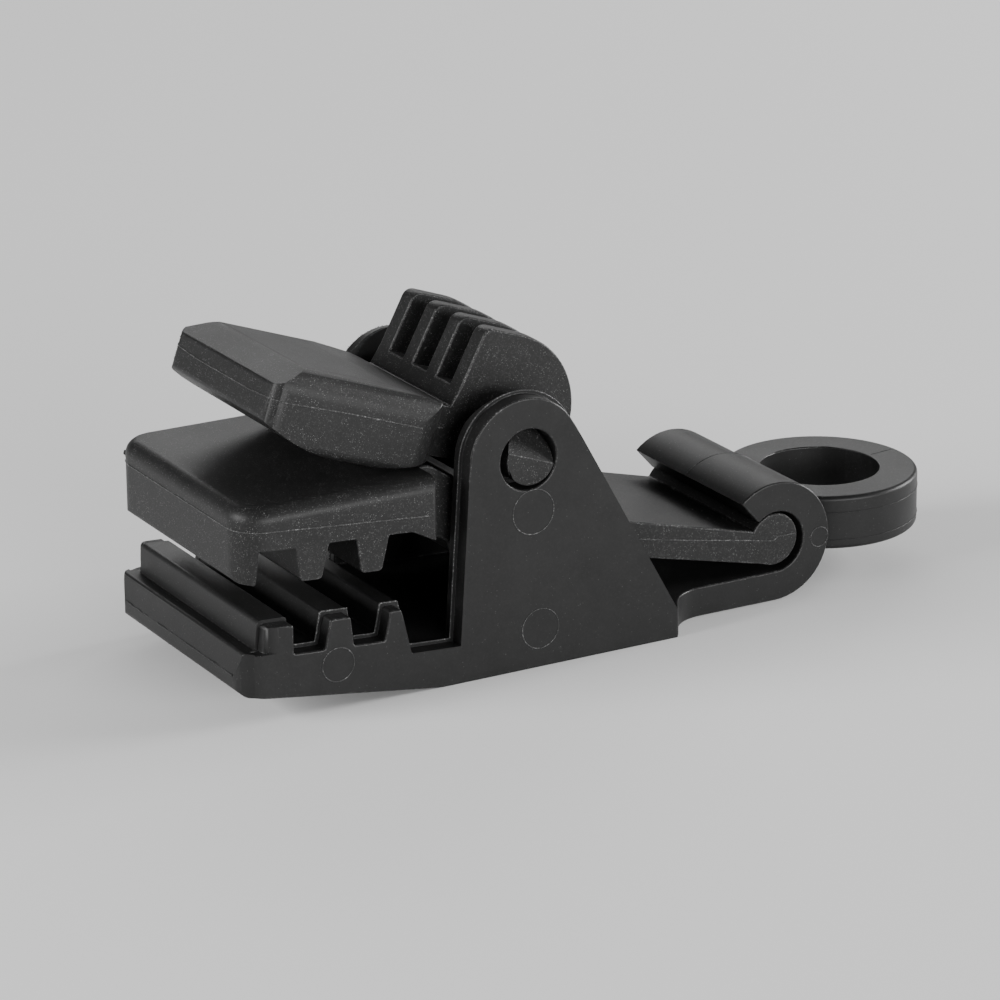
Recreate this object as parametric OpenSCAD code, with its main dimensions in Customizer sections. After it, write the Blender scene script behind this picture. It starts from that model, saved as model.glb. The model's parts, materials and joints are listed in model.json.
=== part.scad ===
// Tarp clip in three moulded pieces: a base with a cord eye, a toothed upper jaw and a cam lever.
// X runs from the nose of the jaws (-X) to the cord eye (+X), Y across the clip, Z up.
// The origin lies on the sole, right under the axle holes, and the clip is drawn open, as it lies on a table.

/* [Clip] */
// Width across the jaws and the cheeks
clip_w = 30; // [29:0.5:36]
// Width of the strap and the hook
strap_w = 21.8; // [19:0.2:23]
// Height of the axle holes above the sole
hole_h = 22.7; // [22:0.1:24]
// Downward slope of both tooth rows towards the eye, in degrees
rack_tilt = 3.2; // [2.4:0.1:4]
// Pitch of the teeth in both jaws
tooth_pitch = 6.8; // [6.6:0.05:7]

/* [Base] */
// Thickness of the sole plate and of the hook's wall
plate_t = 3.3; // [2.8:0.1:3.6]
// Thickness of each cheek
cheek_t = 2.8; // [2.5:0.1:3]
// Radius of the cheeks' round heads
head_r = 6.45; // [6:0.05:7]
// Distance from the holes back to the cheeks' rear feet
cheek_back = 17.8; // [15:0.1:20]
// Distance from the holes forward to the cheeks' front feet
cheek_front = 8.1; // [7.6:0.1:8.8]
// Diameter of the axle holes
hole_d = 6.5; // [6.2:0.05:6.9]
// Distance from the holes forward to the front of the nose
nose_reach = 32.75; // [32.5:0.05:34]
// Depth of the tooth gaps of the base
gap_depth = 3.1; // [2.6:0.1:3.4]
// Height of the axle holes over the tooth tips of the base
tip_drop = 14.2; // [14:0.1:14.6]
// Distance from the holes back to the centre of the hook
hook_x = 32.8; // [30:0.1:36]
// Bore of the hook
hook_d = 6.7; // [6.4:0.05:7]
// Angle at which the hook's lip ends, in degrees above the +X direction
lip_angle = 132; // [124:1:134]
// Bore of the cord eye
eye_d = 13.1; // [10:0.1:14]
// Width of the eye's rim
eye_rim = 4.17; // [3.5:0.01:5]
// Thickness of the cord eye
eye_t = 6; // [5:0.1:7]
// Distance from the centre of the hook back to the centre of the cord eye
eye_reach = 12.6; // [12:0.1:14]
// Height of the eye's lower face above the sole
eye_z = 3.9; // [3.3:0.1:4.5]

/* [Upper jaw] */
// Diameter of the bead that turns in the hook
bead_d = 5.8; // [5.5:0.05:6]
// Room on each side of the bar between the cheeks
bar_gap = 1.4; // [1:0.1:2.4]
// Depth of the tooth gaps of the upper jaw
jaw_gap_depth = 3.65; // [3.2:0.05:4]
// Clear height between the tooth tips of the two jaws when open
mouth = 4.35; // [4.2:0.05:5]
// Distance from the holes forward to the front of the upper jaw
jaw_reach = 32.4; // [32:0.1:33]
// Distance from the holes forward to the back of the wide pad
pad_back = 10.35; // [10.2:0.05:12]
// Depth of the pad's top below the axle holes
pad_drop = 0.2; // [0.2:0.05:0.8]
// Depth of the bar's top below the axle holes, right under them
bar_drop = 6.75; // [6.7:0.05:7.2]
// Thickness of the bar right under the axle holes
bar_t = 4.4; // [3.6:0.1:5]
// Radius of the pad's front corners
pad_corner_r = 3.5; // [2.4:0.1:4]
// Radius of the pad's upper edges
pad_edge_r = 1.6; // [1:0.1:2]

/* [Cam lever] */
// Diameter of the lever's axle stubs
axle_d = 5.6; // [5.2:0.05:6]
// Upward slope of the thumb tab towards its tip, in degrees
tab_rise = 19.5; // [19.5:0.1:21]
// Distance from the axle to the tip of the tab
tab_reach = 29; // [26:0.1:30]
// Width of the thumb tab
tab_w = 22.9; // [18:0.1:24]
// Thickness of the tab above the axle's level
tab_t = 3.6; // [3.3:0.05:4.2]
// Depth of the tab's rounded belly below the axle's level
belly_drop = 4.85; // [4.4:0.05:4.9]
// Width of the ribbed cam hub
hub_w = 17.5; // [16:0.1:19]
// Height of the cam hub's flat top over the axle
hub_top = 11.3; // [11:0.1:11.6]
// Radius of the cam
cam_r = 8.4; // [8:0.05:8.5]
// Number of slots between the cam's ribs
slots = 3; // [1:1:3]
// Width of each slot
slot_w = 2.95; // [2:0.05:3.2]
// Pitch of the slots
slot_pitch = 5.05; // [4.8:0.05:5.2]

/* [Hidden] */

// Steps of a rounded corner of an outline
arc_steps = 6;
// Facets of the large curves
$fn = 96;
// How far a cut runs past what it cuts
over = 1;

// Both tooth rows, measured in their tilted frame: its zero is the axle holes, and drops run down from it
gap_drop = tip_drop + gap_depth;
jaw_tip_drop = tip_drop - mouth;
jaw_gap_drop = jaw_tip_drop - jaw_gap_depth;
last_tooth_x = 15.85;
tooth_w = 3.3;
tooth_draft = 0.5;
tooth_edge_r = 0.35;
root_r = 0.25;

// Base: the last tooth is narrow, and the throat's floor lies lower than the gaps
last_top_w = 1.25;
last_foot_x = 12.7;
floor_drop = 19.07;

// Base: a step inside the clip's sides, two teeth, the throat's floor and the cheeks' edges stand proud
step_inset = 1.7;
step_h = 0.35;
step_edge_r = 0.3;

// Base: nose with its ledge and the lip behind it
ledge_x = 32.2;
ledge_h = 7.6;
groove_x = 30.3;
groove_h = 7.35;
lip_front = 29.2;
lip_draft = 0.15;
lip_edge_r = 0.5;
lip_end_r = 1.5;
nose_low_x = 32.6;
nose_low_r = 0.9;
flash_h = 4.9;
flash_r = 0.5;
nose_high_r = 0.35;
nose_corner_r = 2.8;

// Base: shoulders behind the cheeks
shoulder_l = 0.2;
shoulder_run = 2.4;
shoulder_r = 0.6;
hollow_shoulder_r = 5;

// Base: underside in front of the sole
kink_x = 10.9;
front_rise = 7.85;

// Base: cheeks, with the lead-in that spreads them over the stubs
head_shift = 0.35;
head_lift = 0.1;
lead_h = 2.7;
lead_w = 0.9;

// Base: the hook's far half stands slightly back from a seam
hook_r = hook_d / 2 + plate_t;
hook_z = hook_r;
seam_step = 0.15;
seam_y = 0.5;
seam_low_angle = 20;

// Base: cord eye
eye_x = hook_x + eye_reach;
eye_edge_r = 0.5;

// Upper jaw: the bead bears on the hook's lip and keeps a running gap there
bead_gap = 0.1;
bead_shift = hook_d / 2 - bead_d / 2 - bead_gap;
bead_x = hook_x + bead_shift * cos(lip_angle);
bead_z = hook_z + bead_shift * sin(lip_angle);

// Upper jaw: the bar fits between the cheeks, and the pad is a little narrower than the clip
bar_w = clip_w - 2 * cheek_t - 2 * bar_gap;
pad_inset = 0.2;
pad_w = clip_w - 2 * pad_inset;

// Upper jaw: teeth, front face and bar
jaw_tooth_w = 3.75;
jaw_tooth_draft = 0.7;
jaw_tooth_shift = 0.2;
jaw_tooth_edge_r = 0.5;
jaw_lip_x = 30.15;
jaw_lip_draft = 0.15;
jaw_chin_r = 0.6;
throat_x = 13.3;
throat_drop = 5.5;
ramp_start_x = 9.2;
ramp_end_x = 1.2;
ramp_r = 1.5;
bar_top_over_bead = 0.67;
heel_x = 4.5;
heel_front_x = 6.8;
heel_lift = 0.1;
heel_r = 0.4;
hollow_x = 7.3;
hollow_drop = 8.65;
hollow_r = 0.6;
pad_rear_r = 0.8;

// Cam lever: the stubs sit back in the holes and keep a running gap there
axle_gap = 0.1;
axle_x = hole_d / 2 - axle_d / 2 - axle_gap;
axle_end_inset = 0.1;
chamfer_angle = 38;
boss_d = 9.6;
side_gap = 0.3;
boss_w = clip_w - 2 * cheek_t - 2 * side_gap;

// Cam lever: thumb tab, measured from the axle towards its tip and up from the axle's level
tab_back = 8.4;
tab_back_top = 2.95;
crown_x = 15;
crown_r = 20;
tip_top = 1.5;
tip_low = 2.2;
bevel_run = 3.7;
bevel_r = 1;
tip_top_r = 0.4;
tip_low_r = 0.7;
tab_corner_r = 1.8;
tab_rear_r = 3;
tab_edge_r = 2.8;
tab_low_edge_r = 1.1;
belly_r = 24;
belly_from_tip = 10.8;
belly_x = tab_reach - belly_from_tip;

// Cam lever: neck and hub
neck_low = 2.75;
neck_top = 2.6;
hub_foot_x = 7.3;
hub_foot_h = 2.2;
hub_lean_x = 6.6;
hub_lean_h = 4.8;
hub_top_x = 5.6;
hub_edge_r = 1.1;
cam_x = 0.95;
flat_drop = 3.85;
flat_tilt = 12.2;
slot_floor = 4.6;

// Unit vector of v
function unit(v) = v / norm(v);

// Direction at an angle
function dir(angle) = [cos(angle), sin(angle)];

// An angle brought between -180 and 180 degrees
function wrap(angle) = angle - 360 * floor((angle + 180) / 360);

// Arc of radius r that rounds the corner p between a and b
function corner(a, p, b, r) =
    let (
        u = unit(a - p),
        v = unit(b - p),
        half = acos(u * v) / 2,
        centre = p + unit(u + v) * r / sin(half),
        from = p + u * r / tan(half) - centre,
        to = p + v * r / tan(half) - centre,
        start = atan2(from.y, from.x),
        sweep = wrap(atan2(to.y, to.x) - start)
    )
    [for (i = [0 : arc_steps]) centre + r * dir(start + sweep * i / arc_steps)];

// Outline from corners [x, y, radius]; a radius of 0 leaves the corner sharp
function soft(c) =
    let (n = len(c), at = [for (q = c) [q.x, q.y]])
    [for (i = [0 : n - 1])
        each c[i][2] > 0
            ? corner(at[(i + n - 1) % n], at[i], at[(i + 1) % n], c[i][2])
            : [at[i]]];

// Point where a line from p touches a circle; side is 1 or -1
function touch(p, centre, r, side) =
    let (d = p - centre)
    centre + r * dir(atan2(d.y, d.x) + side * acos(r / norm(d)));

// Corner of a side view given in the tilted frame of the teeth: distance forward, drop and radius
function rack(x, drop, r = 0) =
    [-x * cos(rack_tilt) - drop * sin(rack_tilt),
     hole_h + x * sin(rack_tilt) - drop * cos(rack_tilt),
     r];

// Height of the bar's top at x
function bar_top(x) =
    let (h = hole_h - bar_drop)
    h + (bead_z + bar_top_over_bead - h) * x / bead_x;

// Gives an outline of the side view its width across the clip
module across(width) {
    rotate([90, 0, 0])
        linear_extrude(width, center = true)
            children();
}

// Places solids drawn in the lever's own frame, with the axle at its origin
module lever_frame() {
    translate([axle_x, 0, hole_h])
        rotate([0, tab_rise, 0])
            children();
}

// Side view of the base's plate: nose, lip, two more teeth, throat floor and sole
module plate_side() {
    second = last_tooth_x + tooth_pitch;
    lip_back = second + tooth_pitch - tooth_w;
    nose_low_z = (nose_low_x - kink_x) * tan(front_rise);
    level_x = (floor_drop * cos(rack_tilt) + plate_t - hole_h) / sin(rack_tilt);
    polygon(soft([
        [-kink_x, 0, 0],
        [-nose_low_x, nose_low_z, nose_low_r],
        [-nose_reach, flash_h, flash_r],
        [-ledge_x, ledge_h, nose_high_r],
        [-groove_x, groove_h, root_r],
        rack(lip_front, tip_drop, lip_edge_r),
        rack(lip_back + lip_draft, tip_drop, tooth_edge_r),
        rack(lip_back, gap_drop, root_r),
        rack(second, gap_drop, root_r),
        rack(second - tooth_draft, tip_drop, tooth_edge_r),
        rack(second - tooth_w + tooth_draft, tip_drop, tooth_edge_r),
        rack(second - tooth_w, gap_drop, root_r),
        rack(last_tooth_x, gap_drop, root_r),
        rack(last_tooth_x - tooth_draft, tip_drop, tooth_edge_r),
        rack(last_tooth_x - tooth_draft - last_top_w, tip_drop, tooth_edge_r),
        rack(last_foot_x, floor_drop, root_r),
        rack(level_x, floor_drop),
        [hook_x, plate_t, 0],
        [hook_x, 0, 0]
    ]));
}

// Side view of the raised middle of the rack, down to halfway below the gaps
module step_side() {
    second = last_tooth_x + tooth_pitch;
    lip_back = second + tooth_pitch - tooth_w;
    tip = tip_drop - step_h;
    gap = gap_drop - step_h;
    low = gap_drop + plate_t / 2;
    foot = floor_drop - step_h;
    floor_x = cheek_front - plate_t;
    polygon(soft([
        rack(lip_back, low),
        rack(lip_back, gap),
        rack(second + step_h, gap, root_r),
        rack(second - tooth_draft + step_h, tip, step_edge_r),
        rack(second - tooth_w + tooth_draft - step_h, tip, step_edge_r),
        rack(second - tooth_w - step_h, gap, root_r),
        rack(last_tooth_x + step_h, gap, root_r),
        rack(last_tooth_x - tooth_draft + step_h, tip, step_edge_r),
        rack(last_tooth_x - tooth_draft - last_top_w - step_h, tip, step_edge_r),
        rack(last_foot_x - step_h, foot, root_r),
        rack(floor_x, foot),
        rack(floor_x, floor_drop + plate_t / 2)
    ]));
}

// Side view of the lip's raised middle, its back in one plane with the lip's back
module lip_step_side() {
    lip_back = last_tooth_x + 2 * tooth_pitch - tooth_w;
    draft = lip_draft * (gap_depth + step_h) / gap_depth;
    polygon(soft([
        [-groove_x - step_h, groove_h, 0],
        rack(lip_front + step_h, tip_drop - step_h, lip_edge_r),
        rack(lip_back + draft, tip_drop - step_h, tooth_edge_r),
        rack(lip_back, gap_drop)
    ]));
}

// Plan of the wide part of the plate, with round corners at the nose
module nose_plan() {
    polygon(soft([
        [-nose_reach, -clip_w / 2, nose_corner_r],
        [cheek_back, -clip_w / 2, 0],
        [cheek_back, clip_w / 2, 0],
        [-nose_reach, clip_w / 2, nose_corner_r]
    ]));
}

// What is cut off one front end of the lip, to round it
module lip_end_cut() {
    translate([-groove_x, -clip_w / 2, groove_h])
        difference() {
            translate([-over, -over, 0])
                cube([lip_end_r + over, lip_end_r + over, tip_drop]);
            translate([lip_end_r, lip_end_r, -over])
                cylinder(r = lip_end_r, h = tip_drop + 2 * over);
        }
}

// Plan of the shoulders behind the cheeks: a round corner, then a hollow down to the strap's side
module shoulder_plan() {
    side = clip_w / 2;
    from = cheek_back - cheek_t;
    corner_x = cheek_back + shoulder_l;
    foot_x = corner_x + shoulder_run;
    polygon(soft([
        [from, -side, 0],
        [corner_x, -side, shoulder_r],
        [foot_x, -strap_w / 2, hollow_shoulder_r],
        [foot_x + 2 * hollow_shoulder_r, -strap_w / 2, 0],
        [foot_x + 2 * hollow_shoulder_r, strap_w / 2, 0],
        [foot_x, strap_w / 2, hollow_shoulder_r],
        [corner_x, side, shoulder_r],
        [from, side, 0]
    ]));
}

// The plate: wide under the jaws and the cheeks, with hollow shoulders down to the strap
module plate() {
    difference() {
        intersection() {
            across(clip_w)
                plate_side();
            translate([0, 0, -over])
                linear_extrude(hole_h)
                    nose_plan();
        }
        for (side = [0, 1])
            mirror([0, side, 0])
                lip_end_cut();
    }
    across(clip_w - 2 * step_inset)
        step_side();
    across(clip_w - 2 * step_inset)
        lip_step_side();
    intersection() {
        across(strap_w)
            plate_side();
        translate([0, -clip_w / 2, -over])
            cube([hook_x, clip_w, hole_h]);
    }
    linear_extrude(plate_t)
        shoulder_plan();
}

// One cheek's plate of thickness t, its inner face on the cheek's; its front edge and its head stand proud
module cheek_plate(t, proud) {
    r = head_r + proud;
    head = [-head_shift, hole_h + head_lift];
    front_foot = [-cheek_front - proud, hole_h - floor_drop];
    rear_foot = [cheek_back, plate_t];
    translate([0, clip_w / 2 - cheek_t + t / 2, 0]) {
        across(t)
            polygon([
                [front_foot.x, 0],
                front_foot,
                touch(front_foot, head, r, -1),
                head,
                touch(rear_foot, head, r, 1),
                rear_foot,
                [cheek_back, 0]
            ]);
        translate([head.x, 0, head.y])
            rotate([90, 0, 0])
                cylinder(r = r, h = t, center = true);
    }
}

// What is cut off a cheek's inner face near its top, to let the stub in
module lead_in() {
    inner = clip_w / 2 - cheek_t;
    top = hole_h + head_lift + head_r + step_h;
    translate([-2 * head_r, 0, 0])
        rotate([90, 0, 90])
            linear_extrude(4 * head_r)
                polygon([
                    [inner - over, top - lead_h],
                    [inner, top - lead_h],
                    [inner + lead_w * (lead_h + over) / lead_h, top + over],
                    [inner - over, top + over]
                ]);
}

// Both cheeks, still without their holes
module cheeks() {
    for (side = [0, 1])
        mirror([0, side, 0])
            difference() {
                union() {
                    cheek_plate(cheek_t, 0);
                    cheek_plate(cheek_t - step_inset, step_h);
                }
                lead_in();
            }
}

// Sector of the side view around the hook's centre, well past the hook
module hook_sector(from, to) {
    steps = ceil((to - from) / 30);
    polygon([
        [0, 0],
        for (i = [0 : steps]) 2 * hook_r * dir(from + (to - from) * i / steps)
    ]);
}

// The hook: a tube with its mouth cut out between the lip and the sole
module hook() {
    translate([hook_x, 0, hook_z])
        difference() {
            rotate([90, 0, 0])
                cylinder(r = hook_r, h = strap_w, center = true);
            across(strap_w + 2 * over)
                hook_sector(lip_angle, 270);
            translate([0, seam_y + strap_w / 2, 0])
                difference() {
                    across(strap_w)
                        hook_sector(seam_low_angle, 180);
                    rotate([90, 0, 0])
                        cylinder(r = hook_r - seam_step, h = strap_w + 2 * over, center = true);
                }
        }
}

// The cord eye, still without its bore: a flat disc with soft outer edges
module eye() {
    r = eye_d / 2 + eye_rim;
    translate([eye_x, 0, eye_z])
        rotate_extrude()
            polygon(soft([
                [0, 0, 0],
                [r, 0, eye_edge_r],
                [r, eye_t, eye_edge_r],
                [0, eye_t, 0]
            ]));
}

module base_frame() {
    color([0.07, 0.07, 0.075])
        difference() {
            union() {
                plate();
                cheeks();
                hook();
                eye();
            }
            translate([0, 0, hole_h])
                rotate([90, 0, 0])
                    cylinder(d = hole_d, h = clip_w + 2 * over, center = true);
            translate([hook_x, 0, hook_z])
                rotate([90, 0, 0])
                    cylinder(d = hook_d, h = strap_w + 2 * over, center = true);
            translate([eye_x, 0, eye_z - over])
                cylinder(d = eye_d, h = eye_t + 2 * over);
        }
}

// Side view of the upper jaw's pad and bar
module jaw_side() {
    third = last_tooth_x - jaw_tooth_shift;
    second = third + tooth_pitch;
    chin_z = rack(jaw_reach, jaw_tip_drop).y;
    low_z = bead_z - bead_d / 2;
    heel_z = low_z + (hole_h - bar_drop - bar_t - low_z) * (bead_x + heel_x) / bead_x;
    polygon(soft([
        [-jaw_reach, chin_z, jaw_chin_r],
        [-jaw_reach, hole_h - pad_drop, pad_edge_r],
        [-ramp_start_x, hole_h - pad_drop, ramp_r],
        [ramp_end_x, bar_top(ramp_end_x), ramp_r],
        [bead_x, bead_z + bar_top_over_bead, 0],
        [bead_x, low_z, 0],
        [-heel_x, heel_z, ramp_r],
        [-heel_front_x, heel_z + heel_lift, heel_r],
        [-hollow_x, hole_h - hollow_drop, hollow_r],
        [-throat_x, hole_h - throat_drop, ramp_r],
        rack(third, jaw_gap_drop, root_r),
        rack(third + jaw_tooth_draft, jaw_tip_drop, jaw_tooth_edge_r),
        rack(third + jaw_tooth_w - jaw_tooth_draft, jaw_tip_drop, jaw_tooth_edge_r),
        rack(third + jaw_tooth_w, jaw_gap_drop, root_r),
        rack(second, jaw_gap_drop, root_r),
        rack(second + jaw_tooth_draft, jaw_tip_drop, jaw_tooth_edge_r),
        rack(second + jaw_tooth_w - jaw_tooth_draft, jaw_tip_drop, jaw_tooth_edge_r),
        rack(second + jaw_tooth_w, jaw_gap_drop, root_r),
        rack(jaw_lip_x, jaw_gap_drop, root_r),
        rack(jaw_lip_x + jaw_lip_draft, jaw_tip_drop, root_r)
    ]));
}

// Plan of the wide pad
module pad_plan() {
    polygon(soft([
        [-jaw_reach, -pad_w / 2, pad_corner_r],
        [-pad_back, -pad_w / 2, pad_rear_r],
        [-pad_back, pad_w / 2, pad_rear_r],
        [-jaw_reach, pad_w / 2, pad_corner_r]
    ]));
}

// View of the pad from its nose, with soft upper edges
module pad_front() {
    polygon(soft([
        [-pad_w / 2, 0, 0],
        [pad_w / 2, 0, 0],
        [pad_w / 2, hole_h - pad_drop, pad_edge_r],
        [-pad_w / 2, hole_h - pad_drop, pad_edge_r]
    ]));
}

// The toothed pad: its soft upper edge runs round both front corners
module pad() {
    corner_x = pad_corner_r - jaw_reach;
    corner_y = pad_w / 2 - pad_corner_r;
    intersection() {
        across(pad_w)
            jaw_side();
        union() {
            translate([-jaw_reach, -corner_y, 0])
                cube([jaw_reach - pad_back, 2 * corner_y, hole_h]);
            intersection() {
                translate([corner_x, 0, 0])
                    rotate([90, 0, 90])
                        linear_extrude(-corner_x)
                            pad_front();
                linear_extrude(hole_h)
                    pad_plan();
            }
            for (y = [-corner_y, corner_y])
                translate([corner_x, y, 0])
                    rotate_extrude()
                        polygon(soft([
                            [0, 0, 0],
                            [pad_corner_r, 0, 0],
                            [pad_corner_r, hole_h - pad_drop, pad_edge_r],
                            [0, hole_h - pad_drop, 0]
                        ]));
        }
    }
}

module upper_jaw() {
    color([0.08, 0.08, 0.085])
        union() {
            pad();
            intersection() {
                across(bar_w)
                    jaw_side();
                translate([-pad_back - over, -bar_w / 2, 0])
                    cube([pad_back + over + bead_x, bar_w, hole_h]);
            }
            translate([bead_x, 0, bead_z])
                rotate([90, 0, 0])
                    cylinder(d = bead_d, h = bar_w, center = true);
        }
}

// Side view of the thumb tab, with its tip towards -X
module tab_side() {
    steps = 2 * arc_steps;
    centre = [-belly_x, belly_r - belly_drop];
    from = -asin((tab_reach - tip_low_r - belly_x) / belly_r) - 90;
    to = asin((belly_x - tab_back) / belly_r) - 90;
    polygon(soft([
        for (i = [0 : steps])
            let (p = centre + belly_r * dir(from + (to - from) * i / steps))
            [p.x, p.y, 0],
        [-tab_back, tab_back_top, 0],
        [-crown_x, tab_t, crown_r],
        [-tab_reach + bevel_run, tab_t, bevel_r],
        [-tab_reach, tip_top, tip_top_r],
        [-tab_reach, -tip_low, tip_low_r]
    ]));
}

// Plan of the thumb tab
module tab_plan() {
    polygon(soft([
        [-tab_reach, -tab_w / 2, tab_corner_r],
        [-tab_back, -tab_w / 2, tab_rear_r],
        [-tab_back, tab_w / 2, tab_rear_r],
        [-tab_reach, tab_w / 2, tab_corner_r]
    ]));
}

// View of the tab from its tip, with soft edges above and below
module tab_front() {
    polygon(soft([
        [-tab_w / 2, -belly_drop, tab_low_edge_r],
        [tab_w / 2, -belly_drop, tab_low_edge_r],
        [tab_w / 2, tab_t, tab_edge_r],
        [-tab_w / 2, tab_t, tab_edge_r]
    ]));
}

// The thumb tab, soft on all its edges
module tab() {
    intersection() {
        across(tab_w)
            tab_side();
        translate([0, 0, -2 * belly_drop])
            linear_extrude(4 * belly_drop)
                tab_plan();
        translate([-2 * tab_reach, 0, 0])
            rotate([90, 0, 90])
                linear_extrude(2 * tab_reach)
                    tab_front();
    }
}

// The neck that carries the tab, as wide as the hub
module neck() {
    across(hub_w)
        polygon([
            [-tab_back - over, -neck_low],
            [-cam_x, -neck_low],
            [-cam_x, neck_top],
            [-tab_back - over, neck_top]
        ]);
}

// The cam hub: a leaning front wall, a flat top, the round cam, a flat below and slots between the ribs
module hub() {
    difference() {
        intersection() {
            union() {
                translate([-cam_x, 0, hub_top - cam_r])
                    difference() {
                        rotate([90, 0, 0])
                            cylinder(r = cam_r, h = hub_w, center = true);
                        translate([-2 * cam_r, -hub_w, -2 * cam_r])
                            cube([2 * cam_r, 2 * hub_w, 4 * cam_r]);
                    }
                across(hub_w)
                    polygon(soft([
                        [-cam_x, -cam_r, 0],
                        [-cam_x, hub_top, 0],
                        [-hub_top_x, hub_top, hub_edge_r],
                        [-hub_lean_x, hub_lean_h, hub_edge_r],
                        [-hub_foot_x, hub_foot_h, 0],
                        [-hub_foot_x, -cam_r, 0]
                    ]));
            }
            rotate([0, flat_tilt, 0])
                translate([-2 * hub_top, -hub_w / 2 - over, -flat_drop])
                    cube([4 * hub_top, hub_w + 2 * over, 4 * hub_top]);
        }
        for (i = [0 : slots - 1])
            translate([-2 * cam_r, (i - (slots - 1) / 2) * slot_pitch - slot_w / 2, slot_floor])
                cube([4 * cam_r, slot_w, hub_top]);
    }
}

// The axle: a thick middle between the cheeks and a stub at each end, chamfered above
module axle() {
    end_y = clip_w / 2 - axle_end_inset;
    rotate([90, 0, 0])
        cylinder(d = boss_d, h = boss_w, center = true);
    difference() {
        rotate([90, 0, 0])
            cylinder(d = axle_d, h = 2 * end_y, center = true);
        for (side = [0, 1])
            mirror([0, side, 0])
                translate([-axle_d, 0, 0])
                    rotate([90, 0, 90])
                        linear_extrude(2 * axle_d)
                            polygon([
                                [end_y, 0],
                                [end_y + axle_d, 0],
                                [end_y + axle_d, axle_d],
                                [end_y - axle_d * tan(chamfer_angle), axle_d]
                            ]);
    }
}

module cam_lever() {
    color([0.09, 0.09, 0.095])
        lever_frame()
            union() {
                tab();
                neck();
                hub();
                axle();
            }
}

base_frame();
upper_jaw();
cam_lever();
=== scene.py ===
"""Looks of the tarp clip: black moulded plastic, on a pale floor in soft studio light.

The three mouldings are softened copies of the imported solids. Their small marks, such as mould
lines, gate rings and crumbs of flash, are pieces of their own that ride with them. Lengths are in
metres and angles in degrees where nothing else is said.
"""

import json
import logging
import math
from dataclasses import dataclass
from enum import Enum
from typing import Any, Callable, Iterable, Optional, Sequence, Union

import bmesh
import bpy
from mathutils import Matrix, Vector
from mathutils.bvhtree import BVHTree
from mathutils.geometry import intersect_point_line

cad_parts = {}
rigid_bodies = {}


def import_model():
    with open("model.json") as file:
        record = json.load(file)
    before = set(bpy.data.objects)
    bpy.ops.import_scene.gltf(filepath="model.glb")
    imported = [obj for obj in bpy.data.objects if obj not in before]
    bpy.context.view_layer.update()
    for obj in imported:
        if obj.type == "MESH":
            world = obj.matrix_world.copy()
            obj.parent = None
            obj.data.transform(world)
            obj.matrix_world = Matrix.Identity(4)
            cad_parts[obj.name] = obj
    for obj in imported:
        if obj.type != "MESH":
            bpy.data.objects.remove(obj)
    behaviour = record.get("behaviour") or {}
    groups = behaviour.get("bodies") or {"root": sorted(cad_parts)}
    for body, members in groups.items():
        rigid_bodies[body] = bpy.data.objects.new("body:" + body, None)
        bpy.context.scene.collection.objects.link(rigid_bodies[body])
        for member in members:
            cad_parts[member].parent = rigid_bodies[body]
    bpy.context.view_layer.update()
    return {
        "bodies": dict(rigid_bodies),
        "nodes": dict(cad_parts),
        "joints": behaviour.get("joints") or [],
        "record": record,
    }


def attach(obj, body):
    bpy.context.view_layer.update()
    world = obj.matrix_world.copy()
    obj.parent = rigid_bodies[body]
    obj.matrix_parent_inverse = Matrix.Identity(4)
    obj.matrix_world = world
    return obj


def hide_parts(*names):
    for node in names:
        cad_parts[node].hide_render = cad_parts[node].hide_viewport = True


log = logging.getLogger("tarp_clip")

MM = 0.001
Spot = tuple[float, float]
Point = tuple[float, float, float]
Paths = Sequence[Sequence[Point]]
Key = Union[str, int]
Layer = bmesh.types.BMLayerItem


class Body(Enum):
    """The three moving bodies of the clip."""

    BASE = "base"
    JAW = "jaw"
    LEVER = "lever"

    @property
    def slot(self) -> str:
        """The record's material slot of the body's plastic."""
        return self.value + "_plastic"


class Skin(Enum):
    """The zones of a moulding's surface, in the order of its material slots."""

    PLAIN = 0
    EDGE = 1
    SIDE = 2


# --- Node trees ---


class Value:
    """An output of a node. Python's operators on numbers' outputs add Math nodes."""

    def __init__(self, graph: "Graph", socket: Optional[bpy.types.NodeSocket]) -> None:
        """Wraps an output that carries a number, colour, vector or shape."""
        self.graph = graph
        self.socket = socket

    def _math(self, operation: str, *values: "Number") -> "Value":
        """Adds a Math node on the given values."""
        return self.graph.node("ShaderNodeMath", dict(enumerate(values)), operation=operation)

    def __add__(self, other: "Number") -> "Value":
        """self + other."""
        return self._math("ADD", self, other)

    def __radd__(self, other: "Number") -> "Value":
        """other + self."""
        return self._math("ADD", other, self)

    def __sub__(self, other: "Number") -> "Value":
        """self - other."""
        return self._math("SUBTRACT", self, other)

    def __rsub__(self, other: "Number") -> "Value":
        """other - self."""
        return self._math("SUBTRACT", other, self)

    def __mul__(self, other: "Number") -> "Value":
        """self * other."""
        return self._math("MULTIPLY", self, other)

    def __rmul__(self, other: "Number") -> "Value":
        """other * self."""
        return self._math("MULTIPLY", other, self)

    def ramp(self, low: float, high: float) -> "Value":
        """Rises smoothly from 0 where self is low to 1 where it is high.

        Args:
            low: the value that gives 0.
            high: the value that gives 1; it may lie below low.

        Returns:
            A value from 0 to 1.
        """
        if low > high:
            return 1 - self.ramp(high, low)
        inputs = {"Value": self, "From Min": low, "From Max": high}
        return self.graph.node("ShaderNodeMapRange", inputs, interpolation_type="SMOOTHSTEP")


Number = Union[Value, float]


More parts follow.
